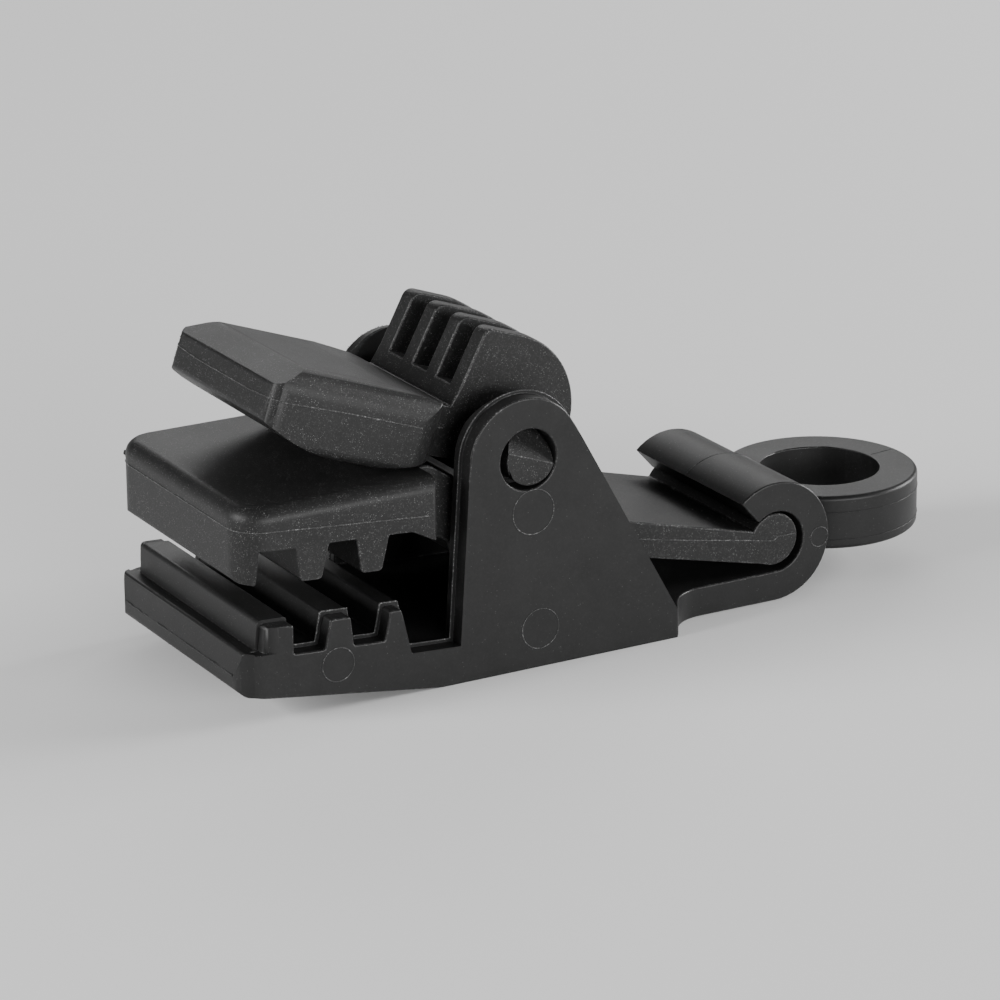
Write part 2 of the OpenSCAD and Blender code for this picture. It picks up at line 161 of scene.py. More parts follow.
class Graph:
    """A node tree, of a material or of a geometry modifier, with one method that adds any node."""

    def __init__(self, tree: bpy.types.NodeTree) -> None:
        """Empties the tree, to fill it anew."""
        self.tree = tree
        tree.nodes.clear()

    def node(
        self,
        kind: str,
        inputs: Optional[dict[Key, Any]] = None,
        output: Key = 0,
        **settings: Any,
    ) -> Value:
        """Adds a node.

        Args:
            kind: the node's type, such as ShaderNodeTexNoise.
            inputs: numbers, colours or other nodes' values by socket name or index.
            output: the name or index of the output that is wanted.
            settings: the node's own properties, set before its sockets.

        Returns:
            That output.
        """
        made = self.tree.nodes.new(kind)
        for name, setting in settings.items():
            setattr(made, name, setting)
        for key, value in (inputs or {}).items():
            socket = socket_of(made.inputs, key)
            if isinstance(value, Value):
                self.tree.links.new(value.socket, socket)
            else:
                socket.default_value = value
        return Value(self, socket_of(made.outputs, output) if made.outputs else None)

    def mix(self, factor: Number, low: Any, high: Any) -> Value:
        """Mixes two colours, from low where the factor is 0 to high where it is 1."""
        inputs = {"Factor": factor, "A": low, "B": high}
        return self.node("ShaderNodeMix", inputs, "Result", data_type="RGBA")


def socket_of(sockets: Sequence[bpy.types.NodeSocket], key: Key) -> bpy.types.NodeSocket:
    """The socket at an index, or the one of that name that the node uses."""
    named = (socket for socket in sockets if socket.name == key and socket.enabled)
    return sockets[key] if isinstance(key, int) else next(named)


def shader_graph(material: bpy.types.Material) -> Graph:
    """Gives the material an empty node tree."""
    material.use_nodes = True
    return Graph(material.node_tree)


def grey(level: float) -> tuple[float, float, float, float]:
    """A neutral opaque colour."""
    return (level, level, level, 1.0)


# --- Finishes ---


@dataclass(frozen=True)
class Noise:
    """Settings of a noise texture.

    Attributes:
        scale: features per metre.
        detail: how many finer layers it has.
        rough: how strong the finer layers are, from 0 to 1.
    """

    scale: float
    detail: float = 2.0
    rough: float = 0.6


FLOW = Noise(140.0, 3.0, 0.55)
CLOUD = Noise(420.0, 4.0)
PATCH = Noise(1100.0)
GRIT = Noise(4300.0, 3.0, 0.65)
FINE_GRIT = Noise(8200.0)
CELLS_PER_METRE = 8800.0
# Tones in shares of a finish's own: its darkest and lightest places, its dots, and its scuffed
# places, which are partly wear and partly painted highlight.
DARKEST, LIGHTEST, DOTTED, RUB_AND_HIGHLIGHT = 0.80, 1.7, 4.5, 7.5
REFRACTION, REFLECTION = 1.46, 0.28


@dataclass(frozen=True)
class Plastic:
    """A black moulded plastic finish, with sparkles painted lighter as highlights.

    Attributes:
        name: the material's name.
        tone: how light the plastic is.
        rough: its middle roughness.
        grain: depth of the fine eroded grain.
        speck: share of the surface with painted sparkle highlights, from 0 to 1.
        glint: how light the painted sparkle highlights are.
        dots: strength of the dense fine dots, from 0 to 1.
        rub_and_highlight: how much of the surface is lightened by scuffs that are partly wear and
            partly painted highlight, from 0 to 1.
    """

    name: str
    tone: float
    rough: float
    grain: float
    speck: float
    glint: float
    dots: float
    rub_and_highlight: float = 0.0

    def material(self) -> bpy.types.Material:
        """Makes the material, or finds the one made before.

        Returns:
            The material.
        """
        found = bpy.data.materials.get(self.name)
        if found:
            return found
        made = bpy.data.materials.new(self.name)
        graph = shader_graph(made)
        place = graph.node("ShaderNodeTexCoord", output="Object")

        def noise(kind: Noise) -> Value:
            """Noise from 0 to 1."""
            inputs = {"Scale": kind.scale, "Detail": kind.detail, "Roughness": kind.rough}
            return graph.node("ShaderNodeTexNoise", {"Vector": place, **inputs})

        def cells(output: str) -> Value:
            """Small cells, one for each possible sparkle."""
            inputs = {"Vector": place, "Scale": CELLS_PER_METRE}
            return graph.node("ShaderNodeTexVoronoi", inputs, output)

        flow, cloud, fine, grit = (noise(kind) for kind in (FLOW, CLOUD, FINE_GRIT, GRIT))

        # Painted highlights: the sparkle spots get a lighter colour that stands in for glints; they
        # are also smoother and raised.
        draw = graph.node("ShaderNodeTexWhiteNoise", {"Vector": cells("Position")})
        chosen = draw.ramp(self.speck * 2.4, self.speck * 0.6)
        patch = noise(PATCH).ramp(0.38, 0.64)
        sparkle = cells("Distance").ramp(0.46, 0.14) * chosen * (patch * 0.8 + 0.2)
        dots = grit.ramp(0.52, 0.68) * fine.ramp(0.40, 0.62) * self.dots

        drift, haze, pits = flow.ramp(0.3, 0.75), cloud.ramp(0.35, 0.7), grit.ramp(0.3, 0.75)
        lift = drift * 0.18 + haze * 0.14 + pits * 0.22
        colour = graph.mix(lift, grey(self.tone * DARKEST), grey(self.tone * LIGHTEST))
        colour = graph.mix(dots, colour, grey(self.tone * DOTTED))
        # Scuffed patches: partly wear, partly painted highlight on the edge and line finishes.
        if self.rub_and_highlight:
            rub_and_highlight_mask = grit.ramp(0.47, 0.72) * cloud.ramp(0.36, 0.66) * self.rub_and_highlight
            colour = graph.mix(rub_and_highlight_mask, colour, grey(self.tone * RUB_AND_HIGHLIGHT))
        # Painted highlight: the sparkles' light colour.
        colour = graph.mix(sparkle, colour, grey(self.glint))

        rough = self.rough + (flow - 0.5) * 0.10 + (grit - 0.5) * 0.16 - sparkle * 0.12
        height = fine * 0.6 + grit * 0.9 + sparkle * 0.8
        bump = {"Distance": self.grain, "Height": height}
        look = {
            "Base Color": colour,
            "Roughness": rough,
            "Normal": graph.node("ShaderNodeBump", bump),
            "IOR": REFRACTION,
            "Specular IOR Level": REFLECTION,
        }
        shader = graph.node("ShaderNodeBsdfPrincipled", look)
        graph.node("ShaderNodeOutputMaterial", {"Surface": shader})
        return made


SMOOTH = Plastic(
    "black_satin", tone=0.011, rough=0.42, grain=3e-6, speck=0.012, glint=0.1, dots=0.06
)
FINE = Plastic(
    "black_fine_grain", tone=0.012, rough=0.44, grain=8e-6, speck=0.04, glint=0.12, dots=0.3
)
GRAINED = Plastic(
    "black_sparkling_grain", tone=0.011, rough=0.45, grain=14e-6, speck=0.13, glint=0.18, dots=0.6
)
# The two edge finishes are worn, and their lighter tone, sparkles and scuffs also paint highlights
# along the rounded edges.
WORN_GRAIN_WITH_HIGHLIGHTS = Plastic(
    "black_worn_grain_with_highlights", tone=0.015, rough=0.36, grain=12e-6, speck=0.3, glint=0.3, dots=0.8, rub_and_highlight=0.7
)
WORN_EDGE_WITH_HIGHLIGHTS = Plastic(
    "black_worn_edge_with_highlights", tone=0.015, rough=0.33, grain=8e-6, speck=0.1, glint=0.2, dots=0.3, rub_and_highlight=0.5
)
# Painted highlight: the line finish is lighter so that mould lines, gate rings and flash crumbs
# look lit; its scuffs are partly wear.
LINE_HIGHLIGHT_AND_SCUFF = Plastic(
    "black_line_highlight_and_scuff", tone=0.034, rough=0.32, grain=6e-6, speck=0.2, glint=0.36, dots=0.5, rub_and_highlight=0.9
)


# --- Pieces ---


def add_object(name: str, data: bpy.types.ID) -> bpy.types.Object:
    """Makes an object and puts it in the scene.

    Args:
        name: its name.
        data: its mesh, light or camera.

    Returns:
        The object.
    """
    made = bpy.data.objects.new(name, data)
    bpy.context.scene.collection.objects.link(made)
    return made


def evaluated(piece: bpy.types.Object) -> bpy.types.Mesh:
    """Evaluates a piece's modifiers.

    Args:
        piece: the piece, which keeps its own mesh.

    Returns:
        Its modified shape as a new mesh.
    """
    piece.data.update_tag()
    graph = bpy.context.evaluated_depsgraph_get()
    graph.update()
    return bpy.data.meshes.new_from_object(
        piece.evaluated_get(graph), preserve_all_data_layers=True, depsgraph=graph
    )


def apply_modifiers(piece: bpy.types.Object) -> None:
    """Turns a piece's modified shape into its own mesh.

    Args:
        piece: the piece, which then has no modifier left.
    """
    mesh = evaluated(piece)
    piece.modifiers.clear()
    piece.data = mesh


def settle(piece: bpy.types.Object, body: Body) -> None:
    """Lets a piece ride on its body and reports it.

    Args:
        piece: the finished piece.
        body: its body.
    """
    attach(piece, body.value)
    log.info("%s: %d faces", piece.name, len(piece.data.polygons))


# --- Mouldings ---


def parts(start: Vector, end: Vector, one: Vector, other: Vector) -> bool:
    """Whether the line through start and end parts one from other, all in a plane."""
    return (end - start).cross(one - start) * (end - start).cross(other - start) < 0


@dataclass
class Moulding:
    """One moulded piece: a copy of its solid with soft edges and a finish for each zone.

    Attributes:
        node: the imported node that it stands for.
        body: the body that it rides on.
        skins: the finish of each zone, in the order of Skin.
        edge: radius of the soft edges.
        segments: how many faces make a rounding.
        faint: an edge that turns by less than this stays as it is.
        sharp: an edge that turns by this or more gets the full radius.
        crease: a corner that still turns by more than this is shaded as a corner.
        lean: how far a shading normal may lean from its own face.
        least: an edge with room for less than this share of the radius stays sharp.
        whole: share of a face's width that a lone rounding may take up.
        half: the same for each of two roundings.
        passes: how often the shares are worked out.
        depth: how deep a rounding may lie under the solid or above it, in shares of the radius.
        flipped: a face that agrees less than this with the solid's direction is folded.
        speck: a face smaller than this area isn't looked at.
        near: how far from a fold an edge is narrowed, in shares of the radius.
        shrink: what a narrowed edge keeps of its share.
        tries: how often folds are looked for.
        merge: corners of the solid closer than this are one.
        flat: its faces that turn by less than this are one.
        sliver: its edges shorter than this are taken out.
        sideways: a face whose normal has more of Y than this is in the zone SIDE.
    """

    node: str
    body: Body
    skins: Sequence[Plastic]
    edge: float = 0.2 * MM
    segments: int = 3
    faint: float = 27.0
    sharp: float = 60.0
    crease: float = 33.0
    lean: float = 35.0
    least: float = 0.15
    whole: float = 0.92
    half: float = 0.48
    passes: int = 3
    depth: float = 0.80
    flipped: float = -0.2
    speck: float = 0.0001 * MM * MM
    near: float = 1.5
    shrink: float = 0.6
    tries: int = 12
    merge: float = 0.002 * MM
    flat: float = 0.6
    sliver: float = 0.006 * MM
    sideways: float = 0.5

    def zone(self, normal: Vector) -> Skin:
        """Picks the zone of a face by its direction."""
        return Skin.SIDE if abs(normal.y) > self.sideways else Skin.PLAIN

    def worth(self, share: float) -> float:
        """A share of the radius, or 0 where it is too small for a rounding."""
        return share if share >= self.least else 0.0

    def width(self, edge: bmesh.types.BMEdge) -> float:
        """Share of the full edge radius that an edge's turn asks for, from 0 to 1."""
        turn = math.degrees(edge.calc_face_angle(0.0))
        return min(1.0, max(0.0, (turn - self.faint) / (self.sharp - self.faint)))

    def room(self, edge: bmesh.types.BMEdge, layer: Layer) -> float:
        """Share of the full edge radius that fits on the faces beside an edge.

        Args:
            edge: a soft edge.
            layer: the layer that holds the edges' shares.

        Returns:
            The share, not limited to 1.
        """
        length = edge.calc_length()
        most = math.inf
        for loop in edge.link_loops:
            behind, ahead = loop.link_loop_prev, loop.link_loop_next
            for corner, other, beyond in (
                (loop, behind.edge, behind.link_loop_prev.edge),
                (ahead, ahead.edge, ahead.link_loop_next.edge),
            ):
                if not corner.is_convex:
                    continue
                angle = corner.calc_angle()
                reach = other.calc_length()
                if other[layer]:
                    fits = self.half * min(length, reach) * abs(math.tan(angle / 2))
                else:
                    fits = reach * math.sin(angle) * (self.half if beyond[layer] else self.whole)
                most = min(most, fits)
        return most / self.edge

    def share_out(self, bm: bmesh.types.BMesh, layer: Layer) -> None:
        """Gives every edge its share of the radius, less where there is no room for it.

        Args:
            bm: the solid.
            layer: the layer that holds the edges' shares.
        """
        for edge in bm.edges:
            edge[layer] = self.width(edge)
        for _ in range(self.passes):
            soft = [edge for edge in bm.edges if edge[layer]]
            shares = {edge: min(edge[layer], self.room(edge, layer)) for edge in soft}
            for edge, share in shares.items():
                edge[layer] = self.worth(share)

    def folds(self, mesh: bpy.types.Mesh, solid: BVHTree) -> list[Vector]:
        """Finds where a rounded mesh folds over or leaves the solid.

        Args:
            mesh: the rounded mesh.
            solid: the solid's faces.

        Returns:
            The places.
        """
        found = []
        for vert in mesh.vertices:
            place, _, _, distance = solid.find_nearest(vert.co)
            if distance > self.depth * self.edge:
                found += [vert.co.copy(), place]
        shell = bmesh.new()
        shell.from_mesh(mesh)
        shell.faces.ensure_lookup_table()
        for face in shell.faces:
            centre = face.calc_center_median()
            normal = solid.find_nearest(centre)[1]
            if face.normal.dot(normal) < self.flipped and face.calc_area() > self.speck:
                found.append(centre)
        tree = BVHTree.FromBMesh(shell)
        for first, second in tree.overlap(tree):
            if first < second:
                one, two = shell.faces[first], shell.faces[second]
                if not set(one.verts) & set(two.verts):
                    small = min((one, two), key=lambda face: face.calc_area())
                    found.append(small.calc_center_median())
        shell.free()
        return found

    def crossings(self, mesh: bpy.types.Mesh) -> list[Vector]:
        """Finds where the outline of a face with five corners or more crosses itself.

        Args:
            mesh: the rounded mesh.

        Returns:
            The places.
        """
        found = []
        for face in mesh.polygons:
            if len(face.vertices) < 5:
                continue
            flatten = face.normal.to_track_quat("Z", "Y").to_matrix().inverted()
            places = [mesh.vertices[index].co for index in face.vertices]
            flat = [(flatten @ place).to_2d() for place in places]
            sides = list(zip(flat, flat[1:] + flat[:1]))
            for first, (start, end) in enumerate(sides):
                for second in range(first + 2, len(sides)):
                    low, high = sides[second]
                    if parts(start, end, low, high) and parts(low, high, start, end):
                        found += [places[first].copy(), places[second].copy()]
        return found

    def narrow(self, bm: bmesh.types.BMesh, layer: Layer, places: Sequence[Vector]) -> int:
        """Narrows the soft edges near some places.

        Args:
            bm: the solid.
            layer: the layer that holds the edges' shares.
            places: where the rounding went wrong.

        Returns:
            How many edges were narrowed.
        """
        reach, count = self.near * self.edge, 0
        for edge in bm.edges:
            if not edge[layer]:
                continue
            start, end = (vert.co for vert in edge.verts)
            length = (end - start).length
            for place in places:
                nearest, along = intersect_point_line(place, start, end)
                nearest = start if along < 0 else end if along > 1 else nearest
                if (place - nearest).length < reach and length:
                    edge[layer] = self.worth(edge[layer] * self.shrink)
                    count += 1
                    break
        return count

    def straighten(self, mesh: bpy.types.Mesh) -> None:
        """Turns back the shading normals that lean too far from their own face.

        A large face round a corner can pull them over where a rounding runs out. Each is made anew
        from the faces at that place that point nearly the same way.

        Args:
            mesh: the finished mesh.
        """
        near, far = math.radians(self.crease), math.radians(self.lean)
        around: dict[int, list[bpy.types.MeshPolygon]] = {}
        for face in mesh.polygons:
            for index in face.vertices:
                around.setdefault(index, []).append(face)
        normals = [corner.vector.copy() for corner in mesh.corner_normals]
        for face in mesh.polygons:
            for index, corner in zip(face.vertices, face.loop_indices):
                if normals[corner].angle(face.normal, 0.0) > far:
                    alike = (
                        other.normal * other.area
                        for other in around[index]
                        if other.normal.angle(face.normal, 0.0) < near
                    )
                    normals[corner] = sum(alike, Vector()).normalized()
        mesh.normals_split_custom_set(normals)

    def cleaned(self, mesh: bpy.types.Mesh) -> bmesh.types.BMesh:
        """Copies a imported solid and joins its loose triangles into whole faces.

        Args:
            mesh: the solid's mesh.

        Returns:
            The copy, with each face in its zone.
        """
        bm = bmesh.new()
        bm.from_mesh(mesh)
        bmesh.ops.remove_doubles(bm, verts=bm.verts, dist=self.merge)
        turn = math.radians(self.flat)
        bmesh.ops.dissolve_limit(bm, angle_limit=turn, verts=bm.verts, edges=bm.edges)
        bmesh.ops.dissolve_degenerate(bm, dist=self.sliver, edges=bm.edges)
        bm.normal_update()
        for face in bm.faces:
            face.material_index = self.zone(face.normal).value
            face.smooth = True
        return bm

    def soften(self, piece: bpy.types.Object, bm: bmesh.types.BMesh) -> None:
        """Rounds a piece's edges, and narrows the rounding where it goes wrong.

        Args:
            piece: the piece, whose mesh it makes.
            bm: the cleaned solid.
        """
        layer = bm.edges.layers.float.new("bevel_weight_edge")
        self.share_out(bm, layer)
        solid = BVHTree.FromBMesh(bm)
        bm.to_mesh(piece.data)
        bevel = piece.modifiers.new("soft edges", "BEVEL")
        bevel.width = self.edge
        bevel.segments = self.segments
        bevel.limit_method = "WEIGHT"
        bevel.use_clamp_overlap = False
        # The rounded strips take the edge finish: worn, with painted highlights.
        bevel.material = Skin.EDGE.value
        for attempt in range(self.tries):
            rounded = evaluated(piece)
            places = self.folds(rounded, solid) + self.crossings(rounded)
            bpy.data.meshes.remove(rounded)
            if not places or not self.narrow(bm, layer, places):
                break
            bm.to_mesh(piece.data)
            piece.data.update()
        log.info("%s: %d folds left after %d tries", self.node, len(places), attempt + 1)
        apply_modifiers(piece)

    def shade(self, piece: bpy.types.Object) -> None:
        """Gives a rounded piece its shading normals.

        Args:
            piece: the piece.
        """
        piece.data.set_sharp_from_angle(angle=math.radians(self.crease))
        even = piece.modifiers.new("even shading", "WEIGHTED_NORMAL")
        even.keep_sharp = True
        apply_modifiers(piece)
        self.straighten(piece.data)

    def build(self, frame: dict[str, Any]) -> None:
        """Makes the piece, in place of its node.
        """
        name = self.node + "_moulding"
        piece = add_object(name, bpy.data.meshes.new(name))
        for skin in self.skins:
            piece.data.materials.append(skin.material())
        bm = self.cleaned(frame["nodes"][self.node].data)
        self.soften(piece, bm)
        bm.free()
        self.shade(piece)
        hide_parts(self.node)
        settle(piece, self.body)


# --- Geometry trees ---


# Features per metre of the beads' straying and of their thickness.
STRAYS_PER_METRE, BULGES_PER_METRE = 1600.0, 900.0
# Sides of a bead and of a ring's section, and straight steps round a ring.
BEAD_SIDES, RING_SIDES, RING_STEPS = 8, 6, 56
# A crumb's random turn about each axis, in radians, and its size in shares of its radius.
FULL_TURN, SMALLEST, LARGEST = 6.28, 0.4, 1.3
# The distance between a bead's rings: a share of its radius, but no less than this length.
STEP_SHARE, LEAST_STEP = 1.6, 0.12 * MM
RING_THICKNESS = 0.045 * MM

FLOAT, INT, VECTOR = "NodeSocketFloat", "NodeSocketInt", "NodeSocketVector"
GEOMETRY, FINISH = "NodeSocketGeometry", "NodeSocketMaterial"


@dataclass(frozen=True)
class GeometryTree:
    """A geometry node tree with named inputs, built by a function and used by modifiers.

    Attributes:
        name: the tree's name.
        inputs: socket type of each input by name, between the geometry and the finish.
        fill: builds the nodes from the graph and its inputs, and returns the geometry.
    """

    name: str
    inputs: dict[str, str]
    fill: Callable[[Graph, dict[str, Value]], Value]

    def tree(self) -> bpy.types.NodeTree:
        """Makes the tree, or finds the one made before.

        Returns:
            The tree.
        """
        found = bpy.data.node_groups.get(self.name)
        if found:
            return found
        made = bpy.data.node_groups.new(self.name, "GeometryNodeTree")
        made.interface.new_socket("Geometry", in_out="OUTPUT", socket_type=GEOMETRY)
        inputs = {"Geometry": GEOMETRY, **self.inputs, "Finish": FINISH}
        for name, kind in inputs.items():
            made.interface.new_socket(name, in_out="INPUT", socket_type=kind)
        graph = Graph(made)
        group = graph.node("NodeGroupInput").socket.node
        given = {name: Value(graph, group.outputs[name]) for name in inputs}
        whole = graph.node("GeometryNodeRealizeInstances", {"Geometry": self.fill(graph, given)})
        smooth = graph.node("GeometryNodeSetShadeSmooth", {"Geometry": whole})
        painting = {"Geometry": smooth, "Material": given["Finish"]}
        painted = graph.node("GeometryNodeSetMaterial", painting)
        graph.node("NodeGroupOutput", {"Geometry": painted})
        return made

    def make(
        self, name: str, paths: Paths, closed: bool = False, **values: Any
    ) -> bpy.types.Object:
        """Runs the tree on some paths.

        Args:
            name: the new piece's name.
            paths: the points of each path, in millimetres; a path may be one point.
            closed: whether each path returns to its start.
            values: the tree's inputs by name.

        Returns:
            A mesh object with no modifier left.
        """
        verts: list[Point] = []
        edges: list[tuple[int, int]] = []
        for path in paths:
            first, count = len(verts), len(path)
            verts += [(x * MM, y * MM, z * MM) for x, y, z in path]
            last = count if closed else count - 1
            edges += [(first + i, first + (i + 1) % count) for i in range(last) if count > 1]
        mesh = bpy.data.meshes.new(name)
        mesh.from_pydata(verts, edges, [])
        piece = add_object(name, mesh)
        modifier = piece.modifiers.new(self.name, "NODES")
        modifier.node_group = self.tree()
        for item in modifier.node_group.interface.items_tree:
            if item.in_out == "INPUT" and item.name in values:
                modifier[item.identifier] = values[item.name]
        apply_modifiers(piece)
        return piece


def circle(graph: Graph, sides: int, radius: Value) -> Value:
    """A circle of straight sides about the origin."""
    inputs = {"Resolution": sides, "Radius": radius}
    return graph.node("GeometryNodeCurvePrimitiveCircle", inputs)


def fill_line(graph: Graph, given: dict[str, Value]) -> Value:
    """Makes a thin bead of plastic along each path, slightly uneven.

    Args:
        graph: the tree.
        given: its inputs by name.

    Returns:
        The beads.
    """
    place = graph.node("GeometryNodeInputPosition")

    def noise(scale: float, output: str) -> Value:
        """Noise that differs with the seed."""
        inputs = {"Vector": place, "W": given["Seed"], "Scale": scale, "Detail": 1.0}
        return graph.node("ShaderNodeTexNoise", inputs, output, noise_dimensions="4D")

    path = graph.node("GeometryNodeMeshToCurve", {"Mesh": given["Geometry"]})
    steps = {"Curve": path, "Length": given["Step"]}
    even = graph.node("GeometryNodeResampleCurve", steps, mode="LENGTH")
    stray = {0: noise(STRAYS_PER_METRE, "Color"), 1: (0.5, 0.5, 0.5)}
    centred = graph.node("ShaderNodeVectorMath", stray, operation="SUBTRACT")
    wobble = {0: centred, "Scale": given["Wobble"]}
    offset = graph.node("ShaderNodeVectorMath", wobble, operation="SCALE")
    moved = graph.node("GeometryNodeSetPosition", {"Geometry": even, "Offset": offset})
    uneven = given["Uneven"]
    size = noise(BULGES_PER_METRE, "Fac") * uneven + (1 - uneven * 0.5)
    profile = circle(graph, BEAD_SIDES, given["Radius"])
    sweep = {"Curve": moved, "Profile Curve": profile, "Scale": size, "Fill Caps": True}
    return graph.node("GeometryNodeCurveToMesh", sweep)


def fill_rings(graph: Graph, given: dict[str, Value]) -> Value:
    """Makes a thin ring at each point, flat against the side of the clip.

    Args:
        graph: the tree.
        given: its inputs by name.

    Returns:
        The rings.
    """
    rim = circle(graph, RING_STEPS, given["Radius"])
    section = circle(graph, RING_SIDES, given["Thickness"])
    ring = graph.node("GeometryNodeCurveToMesh", {"Curve": rim, "Profile Curve": section})
    upright = {"Instance": ring, "Rotation": (math.pi / 2, 0.0, 0.0)}
    return graph.node("GeometryNodeInstanceOnPoints", {"Points": given["Geometry"], **upright})


def fill_specks(graph: Graph, given: dict[str, Value]) -> Value:
    """Scatters small crumbs of flash along each path.

    Args:
        graph: the tree.
        given: its inputs by name.

    Returns:
        The crumbs.
    """

    def random(low: float, high: float, shift: float) -> Value:
        """Three random numbers for each crumb."""
        inputs = {"Min": (low,) * 3, "Max": (high,) * 3, "Seed": given["Seed"] + shift}
        return graph.node("FunctionNodeRandomValue", inputs, "Value", data_type="FLOAT_VECTOR")

    path = graph.node("GeometryNodeMeshToCurve", {"Mesh": given["Geometry"]})
    steps = {"Curve": path, "Count": given["Count"]}
    points = graph.node("GeometryNodeResampleCurve", steps, mode="COUNT")
    spread = {0: random(-1.0, 1.0, 0.0), 1: given["Spread"]}
    offset = graph.node("ShaderNodeVectorMath", spread, operation="MULTIPLY")
    crumbs = {
        "Points": graph.node("GeometryNodeSetPosition", {"Geometry": points, "Offset": offset}),
        "Instance": graph.node("GeometryNodeMeshIcoSphere", {"Radius": given["Radius"]}),
        "Rotation": random(0.0, FULL_TURN, 1.0),
        "Scale": random(SMALLEST, LARGEST, 2.0),
    }
    return graph.node("GeometryNodeInstanceOnPoints", crumbs)


LINE = GeometryTree(
    "mould line",
    {"Radius": FLOAT, "Step": FLOAT, "Wobble": FLOAT, "Uneven": FLOAT, "Seed": FLOAT},
    fill_line,
)
RINGS = GeometryTree("gate rings", {"Radius": FLOAT, "Thickness": FLOAT}, fill_rings)
SPECKS = GeometryTree(
    "flash crumbs", {"Count": INT, "Radius": FLOAT, "Spread": VECTOR, "Seed": FLOAT}, fill_specks
)


# --- Studio ---


@dataclass(frozen=True)
class Softbox:
    """A soft light.

    Attributes:
        name: its name.
        place: its middle.
        size: its width and height.
        power: its power in watts.
        target: the point that it faces.
    """

    name: str
    place: Point
    size: Spot
    power: float
    target: Point = (0.0, 0.0, 0.012)

    def build(self) -> None:
        """Adds the light."""
        light = bpy.data.lights.new(self.name, "AREA")
        light.shape = "RECTANGLE"
        light.size, light.size_y = self.size
        light.energy = self.power
        towards = Vector(self.target) - Vector(self.place)
        turn = towards.to_track_quat("-Z", "Y").to_matrix().to_4x4()
        add_object(self.name, light).matrix_world = Matrix.Translation(self.place) @ turn


@dataclass
class Studio:
    """Camera, floor and lights.

    Attributes:
        place: the camera's place.
        azimuth: direction that the camera looks in, from +Y towards +X.
        elevation: how far it looks down.
        roll: how far it is turned about its line of sight.
        focal: focal length in pixels.
        frame_px: width of the frame in pixels.
        sensor: width of the sensor in millimetres.
        clip: how near and how far the camera sees.
        floor_half: half the floor's width.
        floor_gap: how far the floor lies under the sole.
        floor_tone: how light the floor is.
        room_light: strength of the even light from all sides.
        lights: the soft lights.
    """

    place: Point = (-216.403 * MM, -391.516 * MM, 168.356 * MM)
    azimuth: float = 29.50
    elevation: float = 19.05
    roll: float = 0.435
    focal: float = 4518.35
    frame_px: float = 1000.0
    sensor: float = 36.0
    clip: Spot = (0.01, 10.0)
    floor_half: float = 2.0
    floor_gap: float = 0.02 * MM
    floor_tone: float = 0.9
    room_light: float = 0.12
    lights: Sequence[Softbox] = (
        Softbox("left", (-0.80, 0.10, 0.30), (0.50, 0.30), 8.5),
        Softbox("right", (0.80, -0.10, 0.22), (0.50, 0.30), 8.5),
        Softbox("behind", (0.40, 0.70, 0.42), (0.70, 0.30), 2.1),
        Softbox("front", (0.10, -0.90, 0.17), (0.90, 0.20), 9.5),
    )

    def build(self) -> None:
        """Adds the camera, the floor and the lights."""
        self.camera()
        self.floor()
        self.room()
        for light in self.lights:
            light.build()
        log.info("studio: %d softboxes", len(self.lights))

    def camera(self) -> None:
        """Adds the camera at the photograph's view."""
        az, el, roll = (math.radians(a) for a in (self.azimuth, self.elevation, self.roll))
        ahead = Vector((math.sin(az) * math.cos(el), math.cos(az) * math.cos(el), -math.sin(el)))
        level = Vector((math.cos(az), -math.sin(az), 0.0))
        above = level.cross(ahead)
        right = level * math.cos(roll) - above * math.sin(roll)
        up = right.cross(ahead)
        data = bpy.data.cameras.new("camera")
        data.sensor_width = self.sensor
        data.lens = self.focal * self.sensor / self.frame_px
        data.clip_start, data.clip_end = self.clip
        camera = add_object("camera", data)
        turn = Matrix((right, up, -ahead)).transposed().to_4x4()
        camera.matrix_world = Matrix.Translation(self.place) @ turn
        bpy.context.scene.camera = camera

    def floor(self) -> None:
        """Adds a large pale floor just under the sole."""
        corners = [(-1, -1), (1, -1), (1, 1), (-1, 1)]
        verts = [(x * self.floor_half, y * self.floor_half, -self.floor_gap) for x, y in corners]
        mesh = bpy.data.meshes.new("floor")
        mesh.from_pydata(verts, [], [(0, 1, 2, 3)])
        floor = add_object("floor", mesh)
        paper = bpy.data.materials.new("pale_paper")
        graph = shader_graph(paper)
        look = {"Base Color": grey(self.floor_tone), "Roughness": 0.9, "Specular IOR Level": 0.1}
        shader = graph.node("ShaderNodeBsdfPrincipled", look)
        graph.node("ShaderNodeOutputMaterial", {"Surface": shader})
        mesh.materials.append(paper)

    def room(self) -> None:
        """Fills the room with even light."""
        world = bpy.data.worlds.new("room")
        bpy.context.scene.world = world
        world.use_nodes = True
        back = world.node_tree.nodes["Background"]
        back.inputs["Color"].default_value = grey(1.0)
        back.inputs["Strength"].default_value = self.room_light


# --- Marks of the moulds, in millimetres ---


@dataclass(frozen=True)
class Tilt:
    """A turned frame in the clip's side view, x to the rear and z up.

    Attributes:
        origin: its zero in the side view.
        turn: how far its x axis goes down.
    """

    origin: Spot
    turn: float

    def at(self, x: float, z: float) -> Spot:
        """Turns a place in the frame into one in the side view."""
        c, s = math.cos(math.radians(self.turn)), math.sin(math.radians(self.turn))
        return self.origin[0] + x * c + z * s, self.origin[1] - x * s + z * c


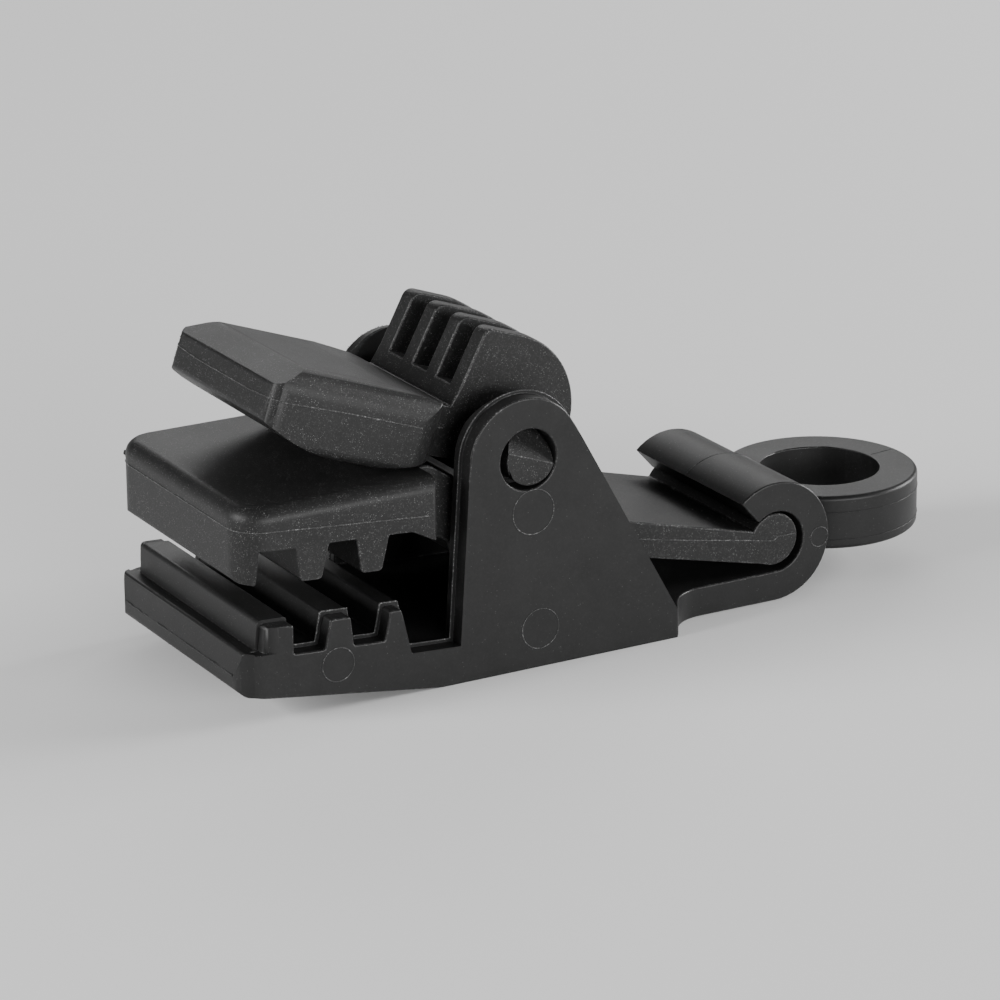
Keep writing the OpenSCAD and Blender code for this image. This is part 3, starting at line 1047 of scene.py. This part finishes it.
def arc(centre: Spot, radius: float, start: float, end: float, step: float = 6.0) -> list[Spot]:
    """Points of an arc.

    Args:
        centre: its centre.
        radius: its radius.
        start: angle of its first point.
        end: angle of its last point.
        step: largest angle between two points.

    Returns:
        The points, both ends among them.
    """
    count = max(1, math.ceil(abs(end - start) / step))
    angles = (math.radians(start + (end - start) * i / count) for i in range(count + 1))
    return [(centre[0] + radius * math.cos(a), centre[1] + radius * math.sin(a)) for a in angles]


def side_path(points: Iterable[Spot], y: float) -> list[Point]:
    """Points of the side view, set at one y."""
    return [(x, y, z) for x, z in points]


def both_sides(path: Sequence[Point]) -> list[list[Point]]:
    """A path and its mirror image across the clip's middle."""
    return [list(path), [(x, -y, z) for x, y, z in path]]


def round_front(near: list[Point]) -> list[Point]:
    """A path along the near side that goes on over its mirror image, back to the rear."""
    return near + [(x, -y, z) for x, y, z in reversed(near)]


class Marks:
    """Small marks of plastic on one body, most of them in the line finish, whose lighter colour is
    a painted highlight.

    Attributes:
        body: the body that they ride on.
    """

    body: Body

    def line(
        self,
        name: str,
        paths: Paths,
        finish: Plastic = LINE_HIGHLIGHT_AND_SCUFF,
        *,
        radius: float,
        wobble: float,
        uneven: float = 0.3,
        seed: float = 1.0,
        closed: bool = False,
    ) -> None:
        """Lays a mould line along some paths.

        Args:
            name: the piece's name.
            paths: the points of each path.
            finish: the line's plastic.
            radius: half its thickness.
            wobble: how far it strays.
            uneven: how much its thickness varies, from 0 to 1.
            seed: picks its unevenness.
            closed: whether each path returns to its start.
        """
        look = {"Radius": radius * MM, "Wobble": wobble * MM, "Uneven": uneven, "Seed": seed}
        step = max(radius * MM * STEP_SHARE, LEAST_STEP)
        piece = LINE.make(name, paths, closed, Finish=finish.material(), Step=step, **look)
        settle(piece, self.body)

    def crumbs(
        self,
        name: str,
        paths: Paths,
        finish: Plastic = LINE_HIGHLIGHT_AND_SCUFF,
        *,
        count: int,
        radius: float,
        spread: Point,
        seed: float,
    ) -> None:
        """Scatters small crumbs of plastic along some paths.

        Args:
            name: the piece's name.
            paths: the points of each path.
            finish: the crumbs' plastic.
            count: how many lie along each path.
            radius: a crumb's radius.
            spread: how far they stray from the path in x, y and z.
            seed: picks their places.
        """
        look = {"Radius": radius * MM, "Spread": [s * MM for s in spread], "Seed": seed}
        piece = SPECKS.make(name, paths, Finish=finish.material(), Count=count, **look)
        settle(piece, self.body)

    def rings(self, name: str, middle: Point, radius: float) -> None:
        """Lays a thin ring on both sides of the clip.

        Args:
            name: the piece's name.
            middle: the middle of one ring.
            radius: the rings' radius.
        """
        look = {"Radius": radius * MM, "Thickness": RING_THICKNESS}
        # The rings take the line finish, a painted highlight.
        finish = LINE_HIGHLIGHT_AND_SCUFF.material()
        settle(RINGS.make(name, both_sides([middle]), Finish=finish, **look), self.body)


@dataclass
class BaseMarks(Marks):
    """Mould lines, gate rings and flash of the base.

    Attributes:
        rack: the frame of the tooth rows, with its zero at the axle holes.
        side_y: the clip's near side.
        line_y: near edge of the raised middle.
        step_h: how far the middle stands proud.
        head: the centre of the cheeks' heads.
        head_r: radius of the heads without the step.
        front_x: the cheeks' front edge at the throat's floor.
        floor_z: height of that floor.
        rear_foot: the rear end of the cheeks' line.
        nose_x: place of the flash on the nose.
        nose_z: its height.
        hook: the hook's centre.
        hook_r: its outer radius.
        hook_side_y: its near side.
        eye_x: the middle of the cord eye.
        eye_r: its outer radius.
        eye_lines_z: height of both lines round it.
    """

    body = Body.BASE
    rack: Tilt = Tilt((0.0, 22.7), 3.2)
    side_y: float = -15.0
    line_y: float = -13.27
    step_h: float = 0.35
    head: Spot = (-0.35, 22.8)
    head_r: float = 6.45
    front_x: float = -8.1
    floor_z: float = 4.05
    rear_foot: Spot = (17.8, 3.3)
    nose_x: float = -32.63
    nose_z: float = 4.9
    hook: Spot = (32.8, 6.65)
    hook_r: float = 6.65
    hook_side_y: float = -10.9
    eye_x: float = 45.4
    eye_r: float = 10.72
    eye_lines_z: Spot = (8.1, 5.0)

    def build(self) -> None:
        """Makes the marks."""
        self.lines()
        self.gates()
        self.flash()

    def rack_path(self) -> list[Point]:
        """Follows two teeth, their gaps and the throat's floor.

        Returns:
            The path on the near side.
        """
        step = self.step_h
        tips, gap, low = 14.2 - step, 17.3 - step, 19.07 - step
        front = [(26.1, gap), (22.65 + step, gap), (22.15 + step, tips), (19.85 - step, tips)]
        middle = [(19.35 - step, gap), (15.85 + step, gap)]
        rear = [(15.35 + step, tips), (14.1 - step, tips), (12.7 - step, low)]
        row = [self.rack.at(-forward, -drop) for forward, drop in front + middle + rear]
        return side_path(row + [(self.front_x - step, self.floor_z + step)], self.line_y)

    def rim_path(self) -> list[Point]:
        """Follows a cheek's rim from its front foot over the head to its rear foot.

        Returns:
            The path on the near side.
        """
        front = [(self.front_x - self.step_h, self.floor_z + self.step_h)]
        head = arc(self.head, self.head_r + self.step_h, 176.2, 28.2)
        return side_path(front + head + [self.rear_foot], self.line_y)

    def lines(self) -> None:
        """Adds the mould lines and the line of flash on the nose."""
        self.line("rack_line", both_sides(self.rack_path()), radius=0.09, wobble=0.05)
        rims = both_sides(self.rim_path())
        self.line("cheek_line", rims, radius=0.06, wobble=0.04, uneven=0.6, seed=6.0)
        hook = side_path(arc(self.hook, self.hook_r - 0.03, 131.0, 0.0), 0.5)
        self.line("hook_seam", [hook], radius=0.07, wobble=0.02)
        nose = [(self.nose_x, y, self.nose_z) for y in (-12.4, -6.0, 0.0, 6.0, 12.4)]
        self.line("nose_flash", [nose], SMOOTH, radius=0.16, wobble=0.22, uneven=0.9, seed=4.0)
        rim = arc((0.0, 0.0), self.eye_r, -180.0, 174.0)
        rings = [[(self.eye_x + x, y, z) for x, y in rim] for z in self.eye_lines_z]
        self.line(
            "eye_lines", rings, SMOOTH, radius=0.06, wobble=0.02, uneven=0.5, seed=2.0, closed=True
        )

    def gates(self) -> None:
        """Adds the round marks of the ejector pins and gates on both sides."""
        self.rings("gate_ring_cheek_low", (1.31, self.side_y, 4.19), radius=2.15)
        self.rings("gate_ring_cheek_high", (0.53, self.side_y, 17.0), radius=2.4)
        self.rings("gate_ring_nose", (-22.15, self.side_y, 4.81), radius=1.8)
        self.rings("gate_ring_hook", (38.24, self.hook_side_y, 6.24), radius=1.1)

    def flash(self) -> None:
        """Adds crumbs of flash and chips, and the knit mark on the ring."""
        rim = side_path(arc(self.head, self.head_r - 0.06, 166.0, 84.0), self.side_y + 0.08)
        spread = (0.07, 0.05, 0.07)
        rims = both_sides(rim)
        self.crumbs("head_edge_chips", rims, count=70, radius=0.055, spread=spread, seed=11.0)
        nose = [[(-32.55, y, self.nose_z) for y in (-12.0, 12.0)]]
        spread = (0.05, 0.2, 0.14)
        self.crumbs(
            "nose_flash_crumbs", nose, SMOOTH, count=110, radius=0.1, spread=spread, seed=12.0
        )
        ledge = [[(-30.95, y, 7.44) for y in (-12.5, 11.0)]]
        spread = (0.18, 0.9, 0.02)
        self.crumbs("ledge_crumbs", ledge, count=16, radius=0.06, spread=spread, seed=13.0)
        knit = [[(x, y, 9.9) for x, y in ((52.4, 0.3), (53.7, 0.44), (55.7, 0.73))]]
        self.line("ring_knit_mark", knit, SMOOTH, radius=0.04, wobble=0.05, uneven=0.5, seed=14.0)


@dataclass
class JawMarks(Marks):
    """Parting lines and flash of the upper jaw.

    Attributes:
        front_x: front face of the pad.
        half_w: half the pad's width.
        corner_r: radius of its front corners.
        front_z: height of the line at the front face.
        side: the line on the pad's side, from its rear end forwards.
        bar_y: near side of the bar.
        bar: the line on the bar's side, from the cheeks to the bead.
        bar_top: height of the bar's top at x = 0.
        bar_slope: how far it goes down for each millimetre to the rear.
    """

    body = Body.JAW
    front_x: float = -32.4
    half_w: float = 14.8
    corner_r: float = 3.5
    front_z: float = 20.1
    side: Sequence[Spot] = ((-11.2, 18.65), (-17.0, 19.12), (-23.0, 19.6))
    bar_y: float = -10.8
    bar: Sequence[Spot] = ((9.5, 11.2), (20.7, 9.0), (32.4, 6.8), (33.0, 7.2), (35.3, 7.17))
    bar_top: float = 15.95
    bar_slope: float = 0.257

    def pad_path(self) -> list[Point]:
        """Runs round the pad from one rear corner over the front to the other.

        Returns:
            The path.
        """
        turn_x, turn_y = self.front_x + self.corner_r, self.half_w - self.corner_r
        side = side_path((*self.side, (turn_x, self.front_z)), -self.half_w)
        bend = arc((turn_x, -turn_y), self.corner_r, 270.0, 180.0, step=15.0)
        return round_front(side + [(x, y, self.front_z) for x, y in bend[1:]])

    def build(self) -> None:
        """Makes the marks."""
        pad = [self.pad_path()]
        self.line("pad_parting_line", pad, radius=0.07, wobble=0.12, uneven=0.9, seed=7.0)
        bar = both_sides(side_path(self.bar, self.bar_y))
        self.line("bar_parting_line", bar, radius=0.06, wobble=0.1, uneven=0.9)
        ends = ((0.55, 1.6, 20.55), (0.7, 1.3, 20.7))
        nub = [[(self.front_x + x, self.half_w - y, z) for x, y, z in ends]]
        spread = (0.08, 0.2, 0.15)
        self.crumbs("pad_flash_nub", nub, SMOOTH, count=5, radius=0.26, spread=spread, seed=3.0)
        rows = [(x, self.bar_top - self.bar_slope * x) for x in (25.8, 26.9, 28.0, 29.1)]
        dust = [[(x, y, z) for y in (-9.0, 6.0)] for x, z in rows]
        spread = (0.08, 1.0, 0.02)
        self.crumbs("bar_crumbs", dust, count=10, radius=0.05, spread=spread, seed=21.0)
        spread = (0.04, 0.04, 0.1)
        self.crumbs("pad_line_crumbs", pad, count=190, radius=0.05, spread=spread, seed=22.0)


@dataclass
class LeverMarks(Marks):
    """Parting lines and scuffs of the cam lever, in its own frame.

    Attributes:
        frame: the lever's frame, with its zero at the axle.
        tip_x: the tab's tip.
        rear_x: the tab's rear end.
        half_w: half the tab's width.
        corner_r: radius of its front corners.
        side_z: height of the line on the tab's sides.
        tip_z: its height at the tip.
        neck_y: near side of the neck.
        stub_y: near end of the axle stubs.
        stub_r: their radius within the line.
    """

    body = Body.LEVER
    frame: Tilt = Tilt((0.35, 22.7), 19.5)
    tip_x: float = -29.0
    rear_x: float = -11.4
    half_w: float = 11.45
    corner_r: float = 1.8
    side_z: float = 0.3
    tip_z: float = -0.12
    neck_y: float = -8.75
    stub_y: float = -14.88
    stub_r: float = 2.65

    def placed(self, path: Iterable[Point]) -> list[Point]:
        """Turns points of the lever's frame into the clip's.

        Args:
            path: the points.

        Returns:
            The same points in the clip's frame.
        """
        flat = [(self.frame.at(x, z), y) for x, y, z in path]
        return [(x, y, z) for (x, z), y in flat]

    def corner(self, start: float, end: float) -> list[Spot]:
        """The tab's near front corner from above, between two angles."""
        centre = (self.tip_x + self.corner_r, self.corner_r - self.half_w)
        return arc(centre, self.corner_r, start, end, step=15.0)

    def tab_path(self) -> list[Point]:
        """Runs round the tab from one rear corner over the tip to the other.

        Returns:
            The path.
        """
        near = [(x, -self.half_w, self.side_z) for x in (self.rear_x, -20.0)]
        near += [(x, y, (self.side_z + self.tip_z) / 2) for x, y in self.corner(270.0, 180.0)]
        near += [(self.tip_x, -6.0, self.tip_z)]
        return self.placed(round_front(near))

    def corner_paths(self) -> list[list[Point]]:
        """Stands upright paths round both front corners of the tab.

        Returns:
            The paths.
        """
        paths = []
        for x, y in self.corner(202.0, 262.0):
            paths += both_sides(self.placed([(x, y, 0.9), (x, y, -1.7)]))
        return paths

    def build(self) -> None:
        """Makes the marks."""
        tab = [self.tab_path()]
        self.line("tab_parting_line", tab, radius=0.06, wobble=0.08, uneven=0.8, seed=9.0)
        neck = self.placed([(-8.35, self.neck_y, 0.25), (-7.3, self.neck_y, 0.28)])
        necks = both_sides(neck)
        self.line("neck_parting_line", necks, radius=0.06, wobble=0.05, uneven=0.8, seed=5.0)
        stub = self.placed([(x, self.stub_y, 0.0) for x in (-self.stub_r, 0.0, self.stub_r)])
        stubs = both_sides(stub)
        self.line("stub_edge_line", stubs, radius=0.06, wobble=0.06, uneven=0.6, seed=6.0)
        spread = (0.04, 0.03, 0.09)
        self.crumbs("tab_line_crumbs", tab, count=130, radius=0.045, spread=spread, seed=31.0)
        corners, spread = self.corner_paths(), (0.03, 0.03, 0.15)
        self.crumbs("tab_corner_scuff", corners, count=14, radius=0.06, spread=spread, seed=32.0)


def main() -> None:
    """Builds the whole scene."""
    logging.basicConfig(level=logging.INFO, format="%(name)s: %(message)s")
    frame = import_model()
    Studio().build()
    # The middle finish of each moulding goes on its rounded edges: worn, with painted highlights.
    Moulding("base_frame", Body.BASE, (FINE, WORN_EDGE_WITH_HIGHLIGHTS, SMOOTH)).build(frame)
    Moulding("upper_jaw", Body.JAW, (GRAINED, WORN_GRAIN_WITH_HIGHLIGHTS, GRAINED)).build(frame)
    Moulding("cam_lever", Body.LEVER, (GRAINED, WORN_GRAIN_WITH_HIGHLIGHTS, GRAINED)).build(frame)
    BaseMarks().build()
    JawMarks().build()
    LeverMarks().build()


if __name__ == "__main__":
    main()
